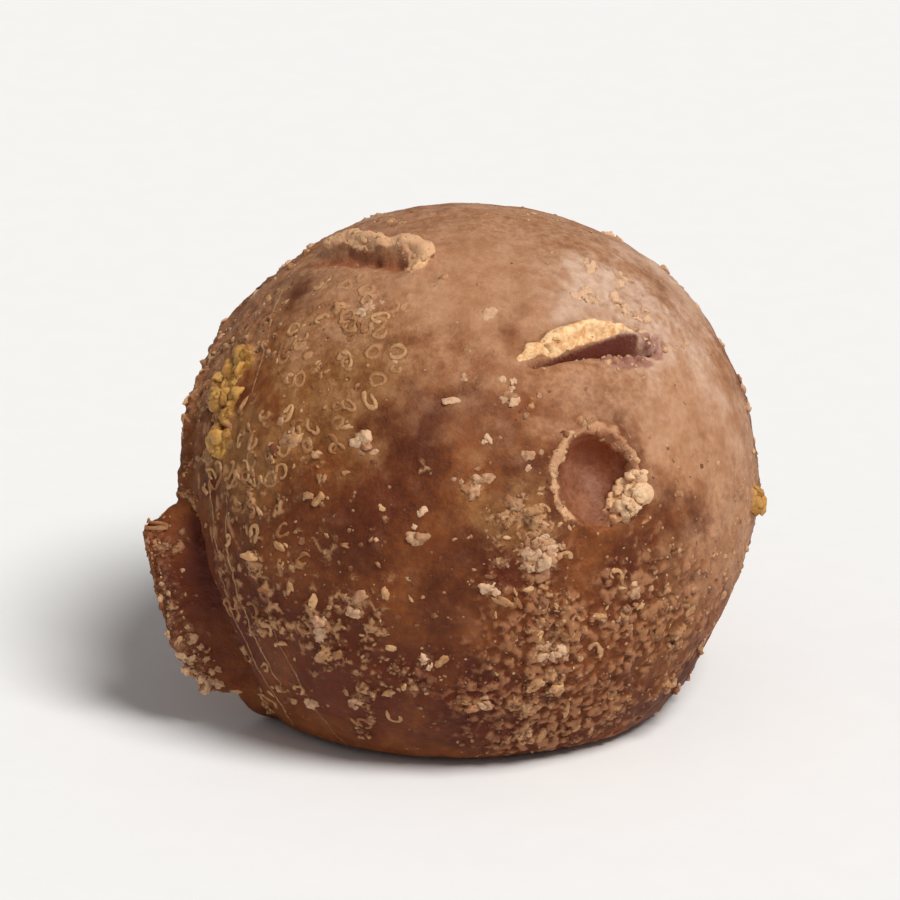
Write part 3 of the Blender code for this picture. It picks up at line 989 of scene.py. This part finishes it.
def tube_triangles(around):
    """The faces of a closed tube of rings of points, with a fan at each end."""
    faces = []
    for ring in range(around - 1):
        for side in range(RIBBON_SIDES):
            a, b = (ring * RIBBON_SIDES + n % RIBBON_SIDES for n in (side, side + 1))
            faces += [(a, b, b + RIBBON_SIDES), (a, b + RIBBON_SIDES, a + RIBBON_SIDES)]
    last = (around - 1) * RIBBON_SIDES
    for side in range(1, RIBBON_SIDES - 1):
        faces += [(0, side + 1, side), (last, last + side, last + side + 1)]
    return np.array(faces)


def ribbons_piece(name, ribbons, tones, material):
    """One joined mesh of ribbons."""
    triangles, start = [], 0
    for points in ribbons:
        triangles.append(tube_triangles(len(points) // RIBBON_SIDES) + start)
        start += len(points)
    tone = np.concatenate([np.full(len(points), tone) for points, tone in zip(ribbons, tones)])
    return mesh_piece(name, np.concatenate(ribbons), np.concatenate(triangles), {"tone": tone}, material)


def waves_round(t, waves, amount, rng):
    """That many waves in a turn, starting at any phase."""
    return amount * np.cos(waves * t + rng.random() * ANY_PHASE)


def curls(skin, density, material):
    """Rings and part rings of crystal that lie in the skin like raised wrinkles."""
    rng = np.random.default_rng(SEED + 400)
    place, normal, _ = scattered(skin, density, CURL_COUNT, rng)
    first, second = tangents(normal, rng)
    ribbons, tones = [], []
    for n in range(CURL_COUNT):
        half = 0.00034 + 0.00044 * rng.random() ** 1.4
        t = np.linspace(0, math.radians(200 + 150 * rng.random()), 18)
        reach = half * (1 + waves_round(t, 2, 0.2, rng) + waves_round(t, 3, 0.1, rng))
        squeeze = 0.55 + 0.4 * rng.random()
        flat = np.cos(t)[:, None] * first[n] + squeeze * np.sin(t)[:, None] * second[n]
        width = (0.00015 + 0.00009 * rng.random()) * (1 + waves_round(t, 2.3, 0.3, rng))
        height = 0.00009 + 0.00006 * rng.random()
        ribbons.append(ribbon(skin, place[n] + reach[:, None] * flat, width, height))
        tones.append(np.clip(0.35 + 0.2 * rng.normal(), 0, 1))
    return ribbons_piece("jaggery_curls", ribbons, tones, material)


def threads(skin, material):
    """Long fine threads of sugar drawn round the ball beside the cast face's lip."""
    rng = np.random.default_rng(SEED + 410)
    outward, up, front = cast_axes()
    ribbons, tones = [], []
    for outside, start, end in THREADS:
        turn = np.radians(np.linspace(start, end, 60))
        sway = noise(np.stack([turn * 0.02, turn * 0, turn * 0 + outside], axis=1), 0.006, 411)
        angle = RIM_ANGLE + (outside / 1000 + 0.0011 * sway) / BALL_RADIUS
        ring = np.cos(turn)[:, None] * up + np.sin(turn)[:, None] * front
        line = np.cos(angle)[:, None] * outward + np.sin(angle)[:, None] * ring
        width = 0.00006 + 0.00006 * np.clip(0.5 + noise(line, 0.12, 412), 0, 1)
        ribbons.append(ribbon(skin, BALL_RADIUS * line + skin.middle, width, 0.00006))
        tones.append(0.25 + 0.25 * rng.random())
    return ribbons_piece("jaggery_threads", ribbons, tones, material)


# ---- materials
def paint(red, green, blue):
    """A colour as it looks on screen, 0 to 255, made linear."""
    def linear(value):
        v = value / 255
        return v / 12.92 if v <= 0.04045 else ((v + 0.055) / 1.055) ** 2.4

    return (linear(red), linear(green), linear(blue), 1.0)


BROWN = paint(147, 84, 38)
DEEP_BROWN = paint(100, 46, 14)
RUST = paint(98, 34, 5)
# Partly a pale film, partly painted highlight
BLOOM_AND_HIGHLIGHT_PINK = paint(198, 149, 113)
DUST = paint(172, 122, 70)
CRUST_TAN = paint(208, 156, 110)
CRUST_GREY = paint(184, 138, 98)
STONE = paint(180, 126, 87)
PALE_RIM = paint(228, 178, 136)
CREAM_LIGHT = paint(253, 214, 164)
CREAM_DARK = paint(218, 160, 106)
OCHRE_LIGHT = paint(204, 154, 82)
OCHRE_DARK = paint(152, 100, 34)
# Painted shade in the scar's slit and the groove
CREVICE_SHADE_RED = paint(92, 38, 24)
# Red-brown: painted shade, and the lip top's own red
RED_AND_PAINTED_SHADE = paint(132, 52, 12)
MAUVE = paint(158, 108, 85)
MAUVE_LIGHT = paint(172, 122, 106)
# Pale grey: painted sheen on the wrinkle crests, and partly pale sugar
PALE_AND_SHEEN_GREY = paint(222, 192, 171)
CAST_PINK = paint(184, 130, 94)
CAST_BROWN = paint(152, 98, 62)
PAINTED_SHADE_BROWN = paint(62, 26, 10)
# Painted shade in the hollows, gaps, pits and creases
MOTTLE = paint(214, 202, 192)
BLOTCH = paint(236, 226, 216)
WHITE = paint(255, 255, 255)


def blank_material(name):
    """A new material's node tree, its Principled shader and the material itself."""
    material = bpy.data.materials.new(name)
    material.use_nodes = True
    tree = material.node_tree
    shader = tree.nodes["Principled BSDF"]
    shader.inputs["Subsurface Radius"].default_value = (1.0, 0.45, 0.25)
    shader.inputs["Subsurface Scale"].default_value = 0.0011
    return material, tree, shader


def node(tree, kind, inputs, output=0, **settings):
    """What a new node gives; each of its inputs is a constant or what another node gives."""
    made = tree.nodes.new("ShaderNode" + kind)
    for label, value in settings.items():
        setattr(made, label, value)
    for socket, value in inputs.items():
        if isinstance(value, bpy.types.NodeSocket):
            tree.links.new(value, made.inputs[socket])
        else:
            made.inputs[socket].default_value = value
    return made.outputs[output]


def object_place(tree):
    return node(tree, "TexCoord", {}, "Object")


def grain_of(tree, size, detail=3.0, roughness=0.55):
    """Noise with features of that size in metres, 0 to 1."""
    inputs = {"Vector": object_place(tree), "Scale": 1 / size, "Detail": detail, "Roughness": roughness}
    return node(tree, "TexNoise", inputs, "Fac")


def rings_of(tree, size):
    """Small uneven rings round some of a set of scattered places, 0 to 1."""
    place = object_place(tree)
    bend = node(tree, "TexNoise", {"Vector": place, "Scale": 1 / (0.8 * size)}, "Color")
    bent = node(tree, "VectorMath", {0: bend, 1: (0.5 * size,) * 3, 2: place}, operation="MULTIPLY_ADD")
    away = node(tree, "TexVoronoi", {"Vector": bent, "Scale": 1 / size}, "Distance")
    return times(tree, between(tree, away, 0.17, 0.25), between(tree, away, 0.31, 0.4, 1.0, 0.0))


def at_points(tree, name):
    """A named value from the mesh's points."""
    return node(tree, "Attribute", {}, "Fac", attribute_name=name)


def between(tree, value, low, high, out_low=0.0, out_high=1.0):
    """The value's way from low to high, smoothed, as a number between two others."""
    inputs = {"Value": value, "From Min": low, "From Max": high, "To Min": out_low, "To Max": out_high}
    return node(tree, "MapRange", inputs, interpolation_type="SMOOTHSTEP")


def sum_of(tree, a, b):
    return node(tree, "Math", {0: a, 1: b}, operation="ADD")


def times(tree, a, b):
    return node(tree, "Math", {0: a, 1: b}, operation="MULTIPLY")


def mixed(tree, share_of_second, first, second, blend="MIX"):
    """Two colours mixed."""
    inputs = {0: share_of_second, 6: first, 7: second}
    return node(tree, "Mix", inputs, 2, data_type="RGBA", blend_type=blend)


def ragged(tree, name, grain, low, high, spread):
    """A mask from the mesh whose edge is broken up by a grain."""
    uneven = times(tree, sum_of(tree, grain, -0.5), spread)
    return between(tree, sum_of(tree, at_points(tree, name), uneven), low, high)


def layered(tree, colour, layers):
    """A colour under layers.

    Each layer is its mask, the grain that breaks up the mask's edge, where the mask begins and is
    full, how ragged the edge is, how strongly the layer covers, and its colour.
    """
    for name, grain, low, high, spread, strength, cover in layers:
        amount = ragged(tree, name, grain, low, high, spread)
        if strength < 1:
            amount = times(tree, amount, strength)
        colour = mixed(tree, amount, colour, cover)
    return colour


def bumped(tree, shader, height, distance, strength):
    inputs = {"Height": height, "Distance": distance, "Strength": strength}
    tree.links.new(node(tree, "Bump", inputs, "Normal"), shader.inputs["Normal"])


def skin_material():
    """Brown sugar with a wax-like gloss, with dustier patches, redder patches that are partly painted
    shade, paler patches that are partly painted highlight and sheen, pale crystals, and painted shade in
    the hollows and crevices.
    """
    material, tree, shader = blank_material("jaggery_skin_looks")
    broadest = grain_of(tree, 0.013, 3, 0.5)
    broad = grain_of(tree, 0.007, 3, 0.5)
    middle = grain_of(tree, 0.0022, 4, 0.6)
    fine = grain_of(tree, 0.00062, 4, 0.62)
    finest = grain_of(tree, 0.00022, 3, 0.6)

    cast = mixed(tree, between(tree, broadest, 0.3, 0.7), CAST_PINK, CAST_BROWN)
    crystal = mixed(tree, between(tree, middle, 0.4, 0.6), CRUST_TAN, CRUST_GREY)
    cream = mixed(tree, between(tree, fine, 0.35, 0.65), CREAM_DARK, CREAM_LIGHT)
    ochre = mixed(tree, between(tree, fine, 0.35, 0.65), OCHRE_DARK, OCHRE_LIGHT)
    mottle = mixed(tree, between(tree, fine, 0.3, 0.7), MOTTLE, WHITE)
    blotch = mixed(tree, between(tree, middle, 0.36, 0.62), BLOTCH, WHITE)
    mottled = between(tree, at_points(tree, "calm"), 0.2, 0.9, 1.0, 0.45)
    ring = times(tree, rings_of(tree, 0.0021), ragged(tree, "ringed", fine, 0.25, 0.75, 0.6))

    colour = mixed(tree, between(tree, broad, 0.36, 0.64), BROWN, DEEP_BROWN)
    colour = layered(tree, colour, (
        # Partly painted shade
        ("rusty", middle, 0.15, 0.85, 0.9, 0.8, RUST),
        ("dusty", middle, 0.15, 0.85, 0.7, 0.75, DUST),
        # Partly painted highlight
        ("bloom", middle, 0.0, 0.7, 0.5, 0.85, BLOOM_AND_HIGHLIGHT_PINK),
        ("cast", fine, 0.25, 0.75, 0.5, 0.7, cast),
        # Partly painted sheen
        ("pallor", middle, 0.0, 1.0, 0.6, 0.6, PALE_AND_SHEEN_GREY),
    ))
    colour = mixed(tree, at_points(tree, "mauve"), colour, MAUVE)
    colour = layered(tree, colour, (("mauve_crumbs", fine, 0.25, 0.75, 0.6, 1.0, MAUVE_LIGHT),))
    colour = mixed(tree, mottled, colour, mottle, "MULTIPLY")
    colour = mixed(tree, 1.0, colour, blotch, "MULTIPLY")
    colour = mixed(tree, times(tree, ring, 0.55), colour, CRUST_TAN)
    colour = layered(tree, colour, (
        ("coarse", fine, 0.25, 0.85, 0.9, 0.45, RUST),
        ("stones", fine, 0.15, 0.75, 0.8, 0.7, STONE),
        # Pale grey painted on the wrinkle crests as a sheen
        ("waxy", finest, 0.0, 1.0, 0.8, 0.42, PALE_AND_SHEEN_GREY),
        ("crust", finest, 0.2, 0.85, 0.9, 0.75, crystal),
        ("streaks", fine, 0.2, 0.8, 0.5, 0.5, CRUST_TAN),
        ("pale_rim", fine, 0.2, 0.75, 0.6, 0.85, PALE_RIM),
    ))
    # Red-brown painted shade on the bowl's upper wall and under the fold, and the lip top's own red
    colour = mixed(tree, times(tree, at_points(tree, "red_and_painted_shade"), 0.75), colour, RED_AND_PAINTED_SHADE)
    colour = layered(tree, colour, (
        ("cream", finest, 0.25, 0.65, 0.5, 1.0, cream),
        ("ochre", finest, 0.25, 0.65, 0.5, 1.0, ochre),
        # Painted shade, dark red, in the scar's slit and the groove
        ("painted_crevice_shade", finest, 0.25, 0.85, 0.4, 1.0, CREVICE_SHADE_RED),
        # Painted shade, dark brown, in the hollows
        ("painted_shade", fine, 0.15, 0.8, 0.6, 0.75, PAINTED_SHADE_BROWN),
    ))
    tree.links.new(colour, shader.inputs["Base Color"])

    rougher = between(tree, at_points(tree, "crust"), 0.1, 0.7, 0.0, 0.14)
    waxy = sum_of(tree, at_points(tree, "mauve"), times(tree, at_points(tree, "cast"), 0.7))
    waxy = sum_of(tree, waxy, times(tree, at_points(tree, "calm"), 0.6))
    smoother = between(tree, waxy, 0.2, 0.9, 0.04, -0.18)
    roughness = sum_of(tree, between(tree, fine, 0.3, 0.7, 0.52, 0.7), rougher)
    tree.links.new(sum_of(tree, roughness, smoother), shader.inputs["Roughness"])
    shader.inputs["Specular IOR Level"].default_value = 0.22
    shader.inputs["Subsurface Weight"].default_value = 0.12
    texture = sum_of(tree, fine, times(tree, finest, 0.6))
    smoothed = between(tree, at_points(tree, "calm"), 0.3, 0.9, 1.0, 0.55)
    texture = sum_of(tree, times(tree, texture, smoothed), times(tree, ring, 0.8))
    bumped(tree, shader, texture, 0.00016, 0.85)
    return material


def crumb_material(name, dark, light):
    """Lumpy sugar crystals, each with its own tone between two colours."""
    material, tree, shader = blank_material(name)
    fine = grain_of(tree, 0.00045, 3, 0.6)
    finest = grain_of(tree, 0.00016, 3, 0.6)
    tone = sum_of(tree, at_points(tree, "tone"), times(tree, sum_of(tree, fine, -0.5), 0.9))
    colour = mixed(tree, between(tree, tone, 0.05, 0.95), dark, light)
    stain = times(tree, between(tree, finest, 0.52, 0.7), 0.35)
    colour = mixed(tree, stain, colour, dark)
    tree.links.new(colour, shader.inputs["Base Color"])
    tree.links.new(between(tree, fine, 0.3, 0.7, 0.46, 0.7), shader.inputs["Roughness"])
    shader.inputs["Subsurface Weight"].default_value = 0.18
    shader.inputs["Specular IOR Level"].default_value = 0.3
    bumped(tree, shader, sum_of(tree, fine, finest), 0.00007, 0.7)
    return material


# ---- the scattered pieces
def make_crumbs(skin):
    """Grains, flakes, curls, crystals and the marked places' crumbs, one joined piece for each kind."""
    masks = skin.masks
    open_ball = (1 - 0.3 * masks.cast) * (1 - masks.bowl) * (1 - 0.9 * masks.calm) * (1 - masks.groove)
    pale_edges = masks.bowl_rim + masks.fold_crest + 0.5 * masks.rim + masks.scar_mauve
    edges = masks.bowl_rim + masks.fold_crest + 0.9 * masks.rim + 0.6 * masks.scar_mauve
    # Crumbs are paler on the paler pink and grey patches, carrying their painted highlight and sheen too.
    paler = 0.4 * masks.bloom + 0.35 * np.clip(pale_edges, 0, 1) + 0.1 * masks.crust
    paler = paler + 0.3 * masks.pallor
    # Crumbs are darker on the redder patches, carrying their painted shade too.
    skin_tone = 0.3 + paler - 0.12 * masks.rusty
    pale_tone = 0.55 + 0.15 * masks.bloom + 0.3 * masks.pallor

    grains = crumb_material("jaggery_grain_looks", paint(116, 64, 34), paint(214, 166, 124))
    flakes = crumb_material("jaggery_flake_looks", paint(146, 94, 54), paint(214, 164, 116))
    crystals = crumb_material("jaggery_crystal_looks", paint(158, 106, 70), paint(222, 178, 142))
    cream = crumb_material("jaggery_cream_looks", paint(208, 144, 98), paint(242, 196, 154))
    ochre = crumb_material("jaggery_ochre_looks", paint(154, 104, 46), paint(208, 156, 84))

    fine_grained = 0.04 + 1.3 * masks.crust + 0.3 * masks.flaky + 0.8 * masks.coarse + edges
    grained = 0.03 + masks.crust + 0.25 * masks.flaky + 0.35 * masks.coarse + 1.5 * edges
    flaked = 0.03 + masks.flaky + 0.3 * masks.crust + 0.3 * masks.coarse
    curled = masks.ringed**2 + 0.1 * masks.flaky
    grown = masks.clusters**2 + 0.9 * masks.lone + 0.7 * masks.lip_end
    crumb_piece(skin, "jaggery_fine_grains", fine_grained * open_ball, skin_tone, grains)
    crumb_piece(skin, "jaggery_grains", grained * open_ball, skin_tone, grains)
    crumb_piece(skin, "jaggery_flakes", flaked * open_ball, pale_tone, flakes)
    curls(skin, curled * open_ball, flakes)
    threads(skin, grains)
    crumb_piece(skin, "jaggery_crystals", grown, pale_tone, crystals)
    crumb_piece(skin, "jaggery_cream_crumbs", masks.bowl_cream, 0.75, cream)
    crumb_piece(skin, "jaggery_ochre_crumbs", masks.ochre, 0.5, ochre)


# ---- the studio
FLOOR_RADIUS = 1.6
FLOOR_SIDES = 96
FLOOR_GAP = 0.0001
CAMERA_LENS = 250.0
CAMERA_DISTANCE = 0.53
CAMERA_ELEVATION = 20.0
WORLD_LIGHT = 0.25
KEY_AZIMUTH = 46.0
KEY_ELEVATION = 56.0
KEY_STRENGTH = 2.95
KEY_ANGLE = 26.0
KEY_COLOUR = (1.0, 0.98, 0.95)


def make_floor():
    """A wide sheet of pale paper just under the lump."""
    bm = bmesh.new()
    bmesh.ops.create_circle(bm, cap_ends=True, segments=FLOOR_SIDES, radius=FLOOR_RADIUS)
    mesh = bpy.data.meshes.new("floor")
    bm.to_mesh(mesh)
    bm.free()
    floor = bpy.data.objects.new("floor", mesh)
    floor.location = (0, 0, CAD_LOW[2] - FLOOR_GAP)
    bpy.context.scene.collection.objects.link(floor)
    material, tree, shader = blank_material("floor_paper")
    paper = mixed(tree, grain_of(tree, 0.004), paint(243, 243, 243), paint(247, 247, 247))
    tree.links.new(paper, shader.inputs["Base Color"])
    shader.inputs["Roughness"].default_value = 0.9
    mesh.materials.append(material)


def aimed(name, data, place, target):
    """A light or camera at a place, turned to its target."""
    thing = bpy.data.objects.new(name, data)
    thing.location = place
    thing.rotation_euler = (Vector(target) - Vector(place)).to_track_quat("-Z", "Y").to_euler()
    bpy.context.scene.collection.objects.link(thing)
    return thing


def make_key_light(target):
    """A broad, even light from the upper right, as from a large window or softbox."""
    light = bpy.data.lights.new("key", "SUN")
    light.energy = KEY_STRENGTH
    light.angle = math.radians(KEY_ANGLE)
    light.color = KEY_COLOUR
    aimed("key", light, Vector(direction(KEY_AZIMUTH, KEY_ELEVATION)) + target, target)


def make_white_room():
    """A world that looks white and lights the lump softly from all round."""
    world = bpy.data.worlds.new("white_room")
    world.use_nodes = True
    tree = world.node_tree
    seen = node(tree, "LightPath", {}, "Is Camera Ray")
    background = tree.nodes["Background"]
    tree.links.new(between(tree, seen, 0.0, 1.0, WORLD_LIGHT, 1.0), background.inputs["Strength"])
    background.inputs["Color"].default_value = WHITE
    bpy.context.scene.world = world
    bpy.context.scene.view_settings.view_transform = "Standard"


def make_camera(target):
    """A long lens at the photograph's viewing angle."""
    camera = bpy.data.cameras.new("camera")
    camera.lens = CAMERA_LENS
    camera.clip_start = 0.01
    camera.clip_end = 10.0
    place = Vector(direction(0, CAMERA_ELEVATION)) * CAMERA_DISTANCE + target
    bpy.context.scene.camera = aimed("camera", camera, place, target)


def make_studio():
    """A pale floor, a white room, one large soft light from the upper right and the camera."""
    target = (CAD_LOW + CAD_HIGH) / 2
    make_floor()
    make_white_room()
    make_key_light(target)
    make_camera(target)


make_crumbs(make_skin())
make_studio()
